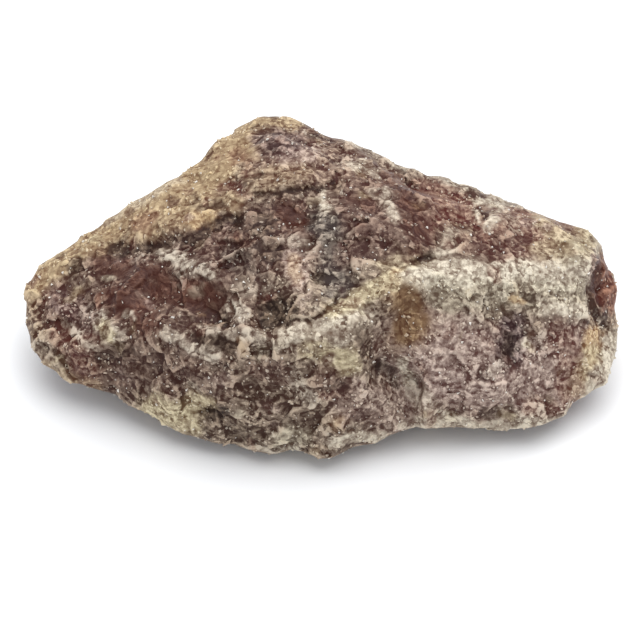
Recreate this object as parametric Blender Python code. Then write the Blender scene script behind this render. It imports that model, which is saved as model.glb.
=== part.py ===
"""A raw, broken piece of red aventurine lying on its flat underside.

The stone grew as one piece, so it is one closed body. It is laid out as someone looking down at it sees it,
along a sight line SIGHT_ANGLE above the table. A seen point is (across, up, height): how far right and how
far up it lies in that view, and how high it stands above the table, all in millimetres on a stone 80 mm long.
The hidden side and the underside are given as plain (x, y, z) points. These corners make a block of big
faces, whose skin is then cut fine and broken into ledges, scoops, chips and nibbles.
"""

import math

import bmesh
import bpy
from mathutils import Vector, noise
from mathutils.geometry import delaunay_2d_cdt

# Driving dimensions
LENGTH = 0.080  # left tip to right end, in metres
SIGHT_ANGLE = math.radians(45)
SIGHT_HEIGHT = 13.0  # the sight line crosses the middle of the stone this high above the table

# How fine the skin is, and how rough the breaks are, in millimetres
SKIN_STEP = 1.46
SWELL_SIZE, SWELL_DEPTH = 13.0, 0.55
CHIP_SIZE, CHIP_SLOPE, CHIP_EDGE = 5.6, 0.54, 1.3
NIBBLE_SIZE, NIBBLE_DEPTH = 2.9, 0.22
RIM_WEAR = 0.25  # share of the roughness left on the worn rim
RIM_FACING = 0.5  # a face turned this far towards the viewer is past the rim, and fully rough
LEDGE_FACING = 0.33  # a ledge or scoop fades out on faces turned less than this towards the viewer
SCOOP_ROUNDNESS = 0.7  # under 1 gives a scoop steep sides and a flat floor
STRAY_SIZE, STRAY_REACH = 4.0, 1.1  # how the edges of ledges and scoops stray from their drawn lines
UNDERSIDE_SLACK = 0.3  # whatever lies lower than this above the table is part of the flat underside
BASE_BLEND = 1.5  # roughness fades out this near the flat underside

# Where the patterns of roughness start, so that no two of them line up
SWELL_SHIFT = Vector((3.1, 7.7, 1.3))
NIBBLE_SHIFT = Vector((9.2, 0.4, 5.5))
DRIFT_SHIFTS = [Vector((0.0, 0.0, 0.0)), Vector((31.4, 5.9, 2.6)), Vector((5.3, 58.9, 7.9))]
CHIP_TILT_SPREAD = 3.7

# The widest line of the stone, clockwise from its left tip
OUTLINE = [
    (-40.2, -2.0, 8.0), (-39.8, 1.0, 9.0), (-38.5, 3.0, 10.0), (-36.8, 3.9, 11.0), (-34.5, 5.6, 12.0),
    (-30.6, 8.6, 14.0), (-28.4, 9.9, 15.0), (-26.6, 11.1, 16.0), (-24.4, 11.7, 16.5), (-20.2, 14.1, 18.0),
    (-18.4, 14.6, 18.5), (-17.2, 16.0, 19.0), (-13.5, 20.2, 20.5), (-10.3, 22.4, 21.5), (-6.9, 23.4, 22.0),
    (-4.8, 23.5, 22.0), (-1.5, 22.1, 22.0), (1.1, 20.7, 21.5), (6.6, 18.9, 21.0), (10.7, 16.8, 20.5),
    (14.0, 15.4, 20.0), (17.2, 14.8, 19.5), (20.7, 13.5, 19.0), (26.1, 11.9, 18.0), (29.0, 10.2, 17.0),
    (34.3, 8.1, 16.0), (36.4, 7.0, 15.5), (38.2, 5.9, 15.0), (38.9, 3.9, 13.5), (40.0, 1.4, 11.5),
    (40.4, -0.8, 10.0), (40.0, -3.2, 9.0), (40.3, -6.4, 7.5), (40.0, -9.5, 6.0), (39.3, -11.0, 5.5),
    (39.1, -12.6, 4.5), (38.0, -14.0, 4.0), (34.2, -15.8, 3.5), (32.7, -17.3, 3.0), (30.5, -18.6, 3.0),
    (24.5, -20.0, 3.0), (18.0, -19.2, 4.0), (12.7, -19.3, 4.5), (9.6, -19.8, 4.0), (7.8, -21.4, 3.0),
    (4.4, -21.4, 3.0), (2.5, -22.7, 2.5), (0.3, -23.3, 2.5), (-4.8, -22.1, 2.5), (-7.8, -22.1, 2.5),
    (-10.2, -21.5, 2.5), (-13.0, -21.4, 2.5), (-18.2, -19.6, 3.0), (-22.8, -17.6, 3.5), (-26.0, -15.0, 4.5),
    (-30.5, -14.3, 4.5), (-34.7, -12.9, 4.0), (-37.7, -11.8, 4.5), (-38.9, -8.4, 5.5), (-40.1, -4.6, 7.0),
]

# The long break where the upper faces turn down into the front, from the right end to the left tip
BREAK_RIDGE = [
    (36.0, 4.0, 18.0), (29.0, 2.6, 20.0), (20.5, 1.6, 22.0), (14.0, 0.4, 23.0), (7.5, -2.6, 22.5),
    (2.5, -5.8, 21.5), (-3.0, -7.4, 20.5), (-9.0, -7.0, 20.0), (-15.0, -6.0, 19.0), (-21.0, -6.4, 17.0),
    (-27.0, -8.0, 13.5), (-32.0, -8.4, 11.0), (-36.6, -6.4, 9.5),
]

# Corners of the upper faces: the peak lobe, the slope behind the break, and the long left slope
UPPER_FACES = [
    (-6.0, 19.6, 24.0), (-12.0, 16.4, 23.0), (-1.0, 16.0, 25.0), (-8.0, 13.4, 25.2), (5.0, 14.6, 24.5),
    (-17.0, 10.4, 21.5), (-10.0, 7.0, 23.8), (-1.5, 9.6, 25.0), (6.0, 8.0, 25.6), (13.0, 10.0, 24.0),
    (12.4, 4.2, 24.0), (21.0, 7.6, 22.3), (27.5, 6.6, 20.8), (32.6, 6.2, 19.0), (-4.0, 1.4, 23.0),
    (-12.0, 1.0, 21.8), (-19.0, 2.6, 19.4), (-24.0, 6.4, 17.8), (-27.0, 0.6, 16.0), (-31.5, 3.2, 14.6),
    (-34.0, -1.4, 12.6), (-37.6, -0.6, 10.6),
]

# Corners of the front faces: the right block, the notch beside it, and the long left front
FRONT_FACES = [
    (36.4, -1.5, 14.5), (36.0, -6.2, 11.4), (35.4, -11.8, 7.4), (30.6, -3.4, 17.0), (29.6, -10.4, 11.0),
    (27.0, -15.6, 7.2), (24.6, -6.4, 14.6), (21.0, -12.4, 11.4), (18.0, -16.2, 7.6), (19.6, -3.6, 19.0),
    (15.0, -9.0, 15.6), (14.0, -14.6, 10.4), (10.8, -14.6, 8.4), (8.8, -10.4, 12.4), (6.8, -14.4, 11.4),
    (5.0, -8.8, 18.2), (0.6, -12.0, 15.6), (-1.6, -16.0, 9.8), (2.6, -18.8, 7.6), (7.4, -18.0, 6.4),
    (-6.4, -11.4, 15.4), (-9.4, -15.0, 12.0), (-6.0, -19.4, 5.8), (-14.6, -11.0, 15.2), (-16.4, -15.4, 8.6),
    (-21.6, -10.4, 12.2), (-21.0, -14.6, 8.6), (-25.6, -12.2, 8.4), (-29.8, -10.6, 9.2), (-35.0, -9.4, 7.0),
]

# The hidden back wall, from its bulge down to its foot
BACK_WALL = [
    (-33.0, 8.5, 7.0), (-24.0, 15.5, 10.0), (-14.0, 22.5, 12.0), (-4.0, 26.0, 12.0), (6.0, 22.0, 11.0),
    (16.0, 18.0, 11.0), (26.0, 13.5, 9.5), (34.0, 9.5, 8.0), (-29.0, 8.5, 3.0), (-16.0, 17.0, 4.0),
    (-2.0, 20.0, 3.6), (12.0, 16.0, 4.4), (27.0, 10.0, 3.0),
]

# The flat break that the stone lies on, seen from above
BASE = [
    (-25.0, -2.0), (-18.0, -9.0), (-8.0, -13.0), (4.0, -13.5), (16.0, -10.0), (27.0, -9.5), (31.0, 0.0),
    (21.0, 9.5), (5.0, 14.0), (-10.0, 14.0), (-22.0, 8.0),
]

# Ledges on the seen side: the line (across, up) that stands proud, its drop, and how far the low ground
# runs on. The low ground is on the right of the line as it is walked, or on its left if the drop is negative.
LEDGES = {
    "rind edge": ([(-37.8, -1.6), (-36.0, 0.6), (-32.4, 2.8), (-29.6, 4.4), (-25.6, 6.3), (-20.6, 6.8),
                   (-16.0, 8.0), (-12.0, 9.8)], 0.9, 5.0),
    "peak lobe": ([(-12.6, 14.2), (-9.0, 13.4), (-6.0, 12.2), (-3.6, 12.4), (0.0, 14.2), (4.0, 15.2)],
                  1.0, 4.5),
    "pale shelf": ([(-32.0, -3.0), (-28.4, -4.0), (-26.0, -7.0), (-29.6, -8.4), (-32.0, -9.2)], -0.9, 3.5),
    "split streak": ([(-21.0, -6.2), (-18.0, -8.4), (-13.6, -9.8)], 0.9, 3.0),
    "break lip": ([(-12.0, -5.6), (-6.0, -7.2), (-1.0, -7.4), (5.0, -10.4)], 0.8, 3.5),
    "right block": ([(12.6, -11.6), (13.2, -15.0), (13.8, -18.4)], 1.5, 3.2),
    "foot lip": ([(3.0, -20.2), (8.0, -19.6), (16.0, -17.4), (24.0, -17.0)], 0.6, 2.0),
    "top flake": ([(27.0, 11.0), (23.4, 7.2), (20.4, 9.6), (20.6, 11.4)], -0.6, 2.6),
    "corner edge": ([(38.2, 5.4), (36.2, 3.0), (35.6, -2.0), (35.8, -5.4)], -1.0, 4.0),
}

# Scoops and pockets on the seen side: middle (across, up), half size across and up, and depth
SCOOPS = {
    "glassy hollow": (-18.4, -1.4, 6.5, 3.2, 1.3),
    "dark pocket": (-6.6, -4.4, 3.4, 2.2, 1.9),
    "left pocket": (-14.4, -3.8, 1.8, 1.6, 0.9),
    "upper hollow": (-2.6, 9.2, 2.6, 1.8, 0.9),
    "band pocket": (13.6, 3.4, 2.2, 1.6, 1.4),
    "honey hollow": (11.4, -4.0, 3.0, 4.2, 1.0),
    "purple hollow": (25.4, -7.6, 3.2, 3.6, 1.1),
    "notch": (10.8, -14.6, 2.2, 3.4, 1.9),
    "notch head": (8.6, -11.0, 1.9, 2.6, 1.4),
    "pin pit": (-2.7, -8.3, 1.4, 1.2, 1.2),
    "shoulder pit": (-0.2, 0.8, 1.4, 1.4, 0.9),
    "foot pocket": (23.4, -16.6, 2.4, 1.4, 1.0),
    "corner pocket": (-14.4, -16.8, 1.8, 1.6, 1.0),
}


def seen_to_world(across, up, height):
    """The world place of a seen point, in millimetres."""
    rise = (height - SIGHT_HEIGHT) * math.cos(SIGHT_ANGLE)
    return Vector((across, (up - rise) / math.sin(SIGHT_ANGLE), height))


def world_to_seen(point):
    """Where a world point shows in the view along the sight line: (across, up)."""
    up = point.y * math.sin(SIGHT_ANGLE) + (point.z - SIGHT_HEIGHT) * math.cos(SIGHT_ANGLE)
    return Vector((point.x, up))


def skin_faces(outline, creases, inner):
    """Triangles over the outline and the inner points, joined as they show in the view, with an edge along
    each crease. A crease is the numbers of its first and last inner point, and whether it closes."""
    seen = [world_to_seen(p) for p in outline + inner]
    edges = [(i, (i + 1) % len(outline)) for i in range(len(outline))]
    for first, last, closes in creases:
        walk = [len(outline) + i for i in range(first, last + 1)]
        edges += zip(walk, walk[1:] + walk[:1] if closes else walk[1:])
    inside_rim = 1
    result = delaunay_2d_cdt(seen, edges, [], inside_rim, 1e-6)
    origin = [sources[0] for sources in result[3]]
    return [[origin[i] for i in face] for face in result[2]]


def block_mesh():
    """The stone's big faces: a seen skin and a hidden skin that share the outline."""
    outline = [seen_to_world(*p) for p in OUTLINE]
    seen_side = [seen_to_world(*p) for p in BREAK_RIDGE + UPPER_FACES + FRONT_FACES]
    hidden_side = [Vector(p) for p in BACK_WALL] + [Vector((x, y, 0.0)) for x, y in BASE]

    ridge = (0, len(BREAK_RIDGE) - 1, False)
    base = (len(BACK_WALL), len(BACK_WALL) + len(BASE) - 1, True)

    block = bmesh.new()
    rim = [block.verts.new(p) for p in outline]
    for inner, crease in ((seen_side, ridge), (hidden_side, base)):
        verts = rim + [block.verts.new(p) for p in inner]
        for face in skin_faces(outline, [crease], inner):
            block.faces.new([verts[i] for i in face])
    bmesh.ops.recalc_face_normals(block, faces=block.faces)
    mesh = bpy.data.meshes.new("block")
    block.to_mesh(mesh)
    block.free()
    return mesh


def even_skin(mesh, step):
    """The mesh with its faces cut to about one even size, as a bmesh."""
    block = bpy.data.objects.new("block", mesh)
    bpy.context.scene.collection.objects.link(block)
    remesh = block.modifiers.new("even skin", "REMESH")
    remesh.mode = "VOXEL"
    remesh.voxel_size = step
    graph = bpy.context.evaluated_depsgraph_get()
    skin = bmesh.new()
    skin.from_object(block, graph)
    bpy.data.objects.remove(block)
    return skin


def signed_distance(point, line):
    """How far a seen point lies from a line of points, positive on the right of the walk along it."""
    best, side = math.inf, 1.0
    for start, end in zip(line, line[1:]):
        start, along = Vector(start), Vector(end) - Vector(start)
        share = max(0.0, min(1.0, (point - start).dot(along) / along.length_squared))
        offset = point - start - along * share
        if offset.length < best:
            best = offset.length
            side = 1.0 if along.x * offset.y - along.y * offset.x < 0 else -1.0
    return best * side


def drift(point):
    """A vector whose three parts wander on their own as the point moves."""
    return Vector([noise.noise(point + shift) for shift in DRIFT_SHIFTS])


def strayed(seen, point):
    """The seen point moved a little, by a rule that follows the stone, so that a drawn edge turns ragged."""
    stray = drift(point / STRAY_SIZE) * STRAY_REACH
    return seen + stray.to_2d()


def ledge_drop(seen):
    """How far the named ledges sink a seen point: a sharp step that runs out over the low ground."""
    drop = 0.0
    for line, depth, run in LEDGES.values():
        side = 1.0 if depth > 0 else -1.0
        distance = side * signed_distance(seen, line)
        if 0.0 < distance < run:
            drop += abs(depth) * (1.0 - distance / run)
    return drop


def scoop_drop(seen):
    """How far the named scoops and pockets sink a seen point."""
    drop = 0.0
    for across, up, half_width, half_height, depth in SCOOPS.values():
        reach = ((seen.x - across) / half_width) ** 2 + ((seen.y - up) / half_height) ** 2
        if reach < 1.0:
            drop += depth * (1.0 - reach) ** SCOOP_ROUNDNESS
    return drop


def chip_height(point):
    """Flat chips: each cell of the broken surface is its own small tilted plane, worn round where two meet."""
    distances, centres = noise.voronoi(point / CHIP_SIZE)
    planes = [
        drift(centre * CHIP_TILT_SPREAD).dot(point - centre * CHIP_SIZE) * CHIP_SLOPE
        for centre in centres[:2]
    ]
    from_edge = min(1.0, (distances[1] - distances[0]) * CHIP_SIZE / CHIP_EDGE)
    return planes[0] + (planes[1] - planes[0]) * 0.5 * (1.0 - from_edge)


def break_height(point):
    """The roughness that every break has: broad swells, flat chips and small nibbles."""
    swell = noise.noise(point / SWELL_SIZE + SWELL_SHIFT) * SWELL_DEPTH
    nibble = noise.noise(point / NIBBLE_SIZE + NIBBLE_SHIFT) * NIBBLE_DEPTH
    return swell + chip_height(point) + nibble


def roughen(skin):
    """Moves each vertex along its normal, and leaves the flat underside flat."""
    skin.normal_update()
    sight = Vector((0.0, -math.cos(SIGHT_ANGLE), math.sin(SIGHT_ANGLE)))
    moves = []
    for vert in skin.verts:
        facing = vert.normal.dot(sight)
        past_rim = min(1.0, abs(facing) / RIM_FACING)
        height = break_height(vert.co) * (RIM_WEAR + (1.0 - RIM_WEAR) * past_rim)
        if facing > 0.0:
            seen = strayed(world_to_seen(vert.co), vert.co)
            height -= (ledge_drop(seen) + scoop_drop(seen)) * min(1.0, facing / LEDGE_FACING)
        fade = max(0.0, min(1.0, (vert.co.z - UNDERSIDE_SLACK) / BASE_BLEND))
        moves.append(vert.normal * height * fade)
    for vert, move in zip(skin.verts, moves):
        vert.co += move


def settle(skin):
    """Lays the underside flat on the table and brings the stone to its length, over the origin."""
    for vert in skin.verts:
        if vert.co.z < UNDERSIDE_SLACK:
            vert.co.z = 0.0
    low = [min(v.co[i] for v in skin.verts) for i in range(3)]
    high = [max(v.co[i] for v in skin.verts) for i in range(3)]
    size = LENGTH / (high[0] - low[0])
    middle = Vector(((low[0] + high[0]) / 2, (low[1] + high[1]) / 2, low[2]))
    for vert in skin.verts:
        vert.co = (vert.co - middle) * size


def aventurine_finish():
    """Dull reddish brown quartz."""
    finish = bpy.data.materials.new("aventurine")
    finish.use_nodes = True
    shader = finish.node_tree.nodes["Principled BSDF"]
    shader.inputs["Base Color"].default_value = (0.20, 0.13, 0.11, 1.0)
    shader.inputs["Roughness"].default_value = 0.6
    shader.inputs["Metallic"].default_value = 0.0
    return finish


def main():
    for old in list(bpy.data.objects):
        bpy.data.objects.remove(old)
    skin = even_skin(block_mesh(), SKIN_STEP)
    roughen(skin)
    settle(skin)
    bmesh.ops.triangulate(skin, faces=skin.faces)
    mesh = bpy.data.meshes.new("aventurine")
    skin.to_mesh(mesh)
    skin.free()
    mesh.materials.append(aventurine_finish())
    stone = bpy.data.objects.new("aventurine", mesh)
    bpy.context.scene.collection.objects.link(stone)


main()
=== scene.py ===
import math
import random
import time

import bmesh
import bpy
import numpy as np
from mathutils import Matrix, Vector, noise


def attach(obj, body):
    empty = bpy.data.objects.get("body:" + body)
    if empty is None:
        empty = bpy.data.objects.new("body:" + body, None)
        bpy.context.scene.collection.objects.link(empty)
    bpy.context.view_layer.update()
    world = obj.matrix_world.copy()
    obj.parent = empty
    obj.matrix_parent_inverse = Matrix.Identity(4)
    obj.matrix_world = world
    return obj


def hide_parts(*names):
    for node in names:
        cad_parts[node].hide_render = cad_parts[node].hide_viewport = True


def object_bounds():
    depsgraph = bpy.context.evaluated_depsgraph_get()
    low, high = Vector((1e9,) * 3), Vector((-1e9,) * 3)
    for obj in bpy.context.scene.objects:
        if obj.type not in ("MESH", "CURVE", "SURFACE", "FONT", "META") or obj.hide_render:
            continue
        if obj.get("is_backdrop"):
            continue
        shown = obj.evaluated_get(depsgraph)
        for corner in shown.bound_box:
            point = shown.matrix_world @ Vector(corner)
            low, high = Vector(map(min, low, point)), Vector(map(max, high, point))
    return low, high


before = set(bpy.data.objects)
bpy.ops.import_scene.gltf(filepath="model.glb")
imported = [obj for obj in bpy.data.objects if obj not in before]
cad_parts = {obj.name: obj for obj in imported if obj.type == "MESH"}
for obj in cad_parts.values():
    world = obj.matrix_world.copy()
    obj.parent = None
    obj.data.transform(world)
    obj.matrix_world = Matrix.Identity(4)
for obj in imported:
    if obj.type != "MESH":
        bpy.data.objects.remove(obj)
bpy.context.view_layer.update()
started = time.time()


def report(stage):
    print(f"{time.time() - started:6.1f} s  {stage}")


# Small helpers for node trees, shader and geometry alike

def addNode(tree, kind, inputs=None, **settings):
    made = tree.nodes.new(kind)
    for key, value in settings.items():
        setattr(made, key, value)
    for key, value in (inputs or {}).items():
        if isinstance(value, bpy.types.NodeSocket):
            tree.links.new(value, made.inputs[key])
        else:
            made.inputs[key].default_value = value
    return made


def addMath(tree, operation, *values, clamp=False):
    made = addNode(tree, "ShaderNodeMath", dict(enumerate(values)), operation=operation, use_clamp=clamp)
    return made.outputs[0]


def addVectorMath(tree, operation, *values):
    made = addNode(tree, "ShaderNodeVectorMath", dict(enumerate(values)), operation=operation)
    return made.outputs["Value" if operation == "DOT_PRODUCT" else "Vector"]


def addScaled(tree, vector, amount):
    made = addNode(tree, "ShaderNodeVectorMath", {0: vector, "Scale": amount}, operation="SCALE")
    return made.outputs["Vector"]


def tone(red, green, blue):  # a colour as a screen shows it, 0 to 255, turned into linear light
    return tuple((c / 255 / 12.92) if c < 10.3 else ((c / 255 + 0.055) / 1.055) ** 2.4
                 for c in (red, green, blue)) + (1.0,)


# Where things lie as the camera sees them: (across, up) in mm from the middle of the stone's face
sight = {
    "elevation": 45.0,   # degrees above the table
    "acrossZero": 0.13,  # mm
    "upZero": 8.11,      # mm
}
sightSin = math.sin(math.radians(sight["elevation"]))
sightCos = math.cos(math.radians(sight["elevation"]))
towardsCamera = np.array((0.0, -sightCos, sightSin))


def seenPlaces(points):
    across = points[:, 0] * 1000 - sight["acrossZero"]
    up = (points[:, 1] * sightSin + points[:, 2] * sightCos) * 1000 - sight["upZero"]
    return np.stack((across, up), axis=1)


def meshPoints(mesh):
    points = np.empty(len(mesh.vertices) * 3, np.float32)
    mesh.vertices.foreach_get("co", points)
    return points.reshape(-1, 3).astype(float)


def meshNormals(mesh):
    normals = np.empty(len(mesh.vertices) * 3, np.float32)
    mesh.vertex_normals.foreach_get("vector", normals)
    return normals.reshape(-1, 3).astype(float)


def storeValues(mesh, name, values):
    kind = "FLOAT" if values.ndim == 1 else "FLOAT_VECTOR"
    attribute = mesh.attributes.new(name, kind, "POINT")
    attribute.data.foreach_set("value" if values.ndim == 1 else "vector", values.astype(np.float32).ravel())


wanderShifts = np.array(((0.0, 0.0, 0.0), (31.4, 5.9, 0.0), (0.0, 58.9, 7.9)))  # for its three values


def wander(points, size, reach, shift):  # a smooth random vector for each point
    moved = points * (1000 / size) + shift
    return np.stack([[noise.noise(p) for p in moved + apart] for apart in wanderShifts], axis=1) * reach


def finishedObject(name, mesh):
    made = bpy.data.objects.new(name, mesh)
    bpy.context.scene.collection.objects.link(made)
    return made


def evaluatedMesh(source, name):  # the object with its modifiers, as a plain mesh of its own
    graph = bpy.context.evaluated_depsgraph_get()
    mesh = bpy.data.meshes.new_from_object(source.evaluated_get(graph), depsgraph=graph)
    mesh.name = name
    bpy.data.objects.remove(source)
    return mesh


# The skin of the stone: the CAD solid, cut fine and rounded where its facets met, and finest where it is
# seen most. Lengths are in metres
stoneSkin = {
    "mergeDistance": 0.000001,
    "coarseStep": 0.00046,
    "smoothing": 0.5,
    "smoothPasses": 7,
    "triangles": 196000,
    "fineEdge": 0.00027,
    "awaySteps": 10,     # from the side that is seen to the one that is not
    "awayMiddle": 5.0,   # the step of what is seen edge on
    "awaySlope": 12.0,
    "awayWeight": 0.3,   # the far side's edges come out about four times as long
    "awayFactor": 6.0,
}


def fineSkin():
    merged = bmesh.new()
    merged.from_mesh(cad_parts["aventurine"].data)
    bmesh.ops.remove_doubles(merged, verts=merged.verts, dist=stoneSkin["mergeDistance"])
    mesh = bpy.data.meshes.new("skin")
    merged.to_mesh(mesh)
    merged.free()
    skin = finishedObject("skin", mesh)
    even = skin.modifiers.new("even", "REMESH")
    even.mode = "VOXEL"
    even.voxel_size = stoneSkin["coarseStep"]
    calm = skin.modifiers.new("calm", "SMOOTH")
    calm.factor = stoneSkin["smoothing"]
    calm.iterations = stoneSkin["smoothPasses"]
    finer = skin.modifiers.new("finer", "SUBSURF")
    finer.levels = finer.render_levels = 1
    fine = finishedObject("skin", evaluatedMesh(skin, "fineSkin"))
    away = fine.vertex_groups.new(name="away")
    facing = meshNormals(fine.data) @ towardsCamera
    last = stoneSkin["awaySteps"]
    steps = np.clip(np.ceil(stoneSkin["awayMiddle"] - facing * stoneSkin["awaySlope"]), 0, last)
    for step in range(1, last + 1):
        away.add(np.flatnonzero(steps == step).tolist(), stoneSkin["awayWeight"] * step / last, "REPLACE")
    fewer = fine.modifiers.new("fewer", "DECIMATE")
    fewer.vertex_group = away.name
    fewer.vertex_group_factor = stoneSkin["awayFactor"]
    fewer.ratio = stoneSkin["triangles"] / (2 * len(fine.data.polygons))
    return evaluatedMesh(fine, "aventurineSkin")


# The minerals: how far each stands proud of the ground in mm, how milky it is, how strongly its chips and
# its grit show, how rough it is, and its lighter and its darker tone
minerals = {
    "ground": {"lift": 0.0, "milk": 0.47, "chips": 0.8, "grit": 1.1, "rough": 0.5,
               "light": (188, 168, 146), "deep": (60, 37, 27)},
    "maroon": {"lift": -0.06, "milk": 0.37, "chips": 0.7, "grit": 1.1, "rough": 0.4,
               "light": (158, 132, 116), "deep": (58, 27, 20)},
    "redBrown": {"lift": 0.0, "milk": 0.44, "chips": 0.5, "grit": 1.2, "rough": 0.45,
                 "light": (186, 154, 132), "deep": (78, 30, 23)},
    "pink": {"lift": 0.0, "milk": 0.60, "chips": 0.3, "grit": 1.3, "rough": 0.5,
             "light": (208, 186, 172), "deep": (88, 58, 52)},
    "wine": {"lift": -0.14, "milk": 0.30, "chips": 0.45, "grit": 0.6, "rough": 0.3,
             "light": (136, 97, 80), "deep": (60, 27, 19)},
    "purple": {"lift": -0.12, "milk": 0.40, "chips": 0.6, "grit": 1.2, "rough": 0.35,
               "light": (174, 148, 136), "deep": (54, 30, 27)},
    "plum": {"lift": -0.12, "milk": 0.38, "chips": 0.5, "grit": 1.3, "rough": 0.35,
             "light": (182, 160, 150), "deep": (50, 28, 28)},
    "slate": {"lift": -0.16, "milk": 0.40, "chips": 0.7, "grit": 1.15, "rough": 0.4,
              "light": (172, 158, 142), "deep": (46, 33, 29)},
    # in pockets, pits, the hole, the notch and under the lobe this dark tone is painted shade as well as
    # dark quartz
    "dark": {"lift": -0.28, "milk": 0.31, "chips": 0.7, "grit": 1.0, "rough": 0.45,
             "light": (146, 124, 104), "deep": (38, 24, 17)},
    "olive": {"lift": -0.04, "milk": 0.44, "chips": 0.8, "grit": 1.1, "rough": 0.5,
              "light": (173, 154, 130), "deep": (54, 36, 25)},
    "green": {"lift": 0.04, "milk": 0.66, "chips": 0.25, "grit": 1.2, "rough": 0.6,
              "light": (216, 206, 181), "deep": (92, 76, 60)},
    "pale": {"lift": 0.13, "milk": 0.68, "chips": 0.7, "grit": 1.1, "rough": 0.6,
             "light": (209, 198, 179), "deep": (86, 64, 51)},
    "sugar": {"lift": 0.10, "milk": 0.72, "chips": 0.25, "grit": 1.2, "rough": 0.6,
              "light": (223, 212, 191), "deep": (106, 84, 68)},
    "cream": {"lift": 0.09, "milk": 0.70, "chips": 0.28, "grit": 1.15, "rough": 0.6,
              "light": (224, 210, 174), "deep": (104, 80, 54)},
    "honey": {"lift": -0.08, "milk": 0.42, "chips": 0.12, "grit": 1.0, "rough": 0.4,
              "light": (176, 146, 108), "deep": (84, 52, 31)},
    "ochre": {"lift": 0.02, "milk": 0.66, "chips": 0.3, "grit": 1.15, "rough": 0.6,
              "light": (222, 194, 150), "deep": (122, 82, 50)},
    "rust": {"lift": 0.0, "milk": 0.44, "chips": 0.5, "grit": 1.0, "rough": 0.45,
             "light": (174, 128, 104), "deep": (74, 31, 21)},
    "rind": {"lift": 0.10, "milk": 0.60, "chips": 0.34, "grit": 0.9, "rough": 0.75,
             "light": (212, 189, 151), "deep": (98, 66, 44)},
}

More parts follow.
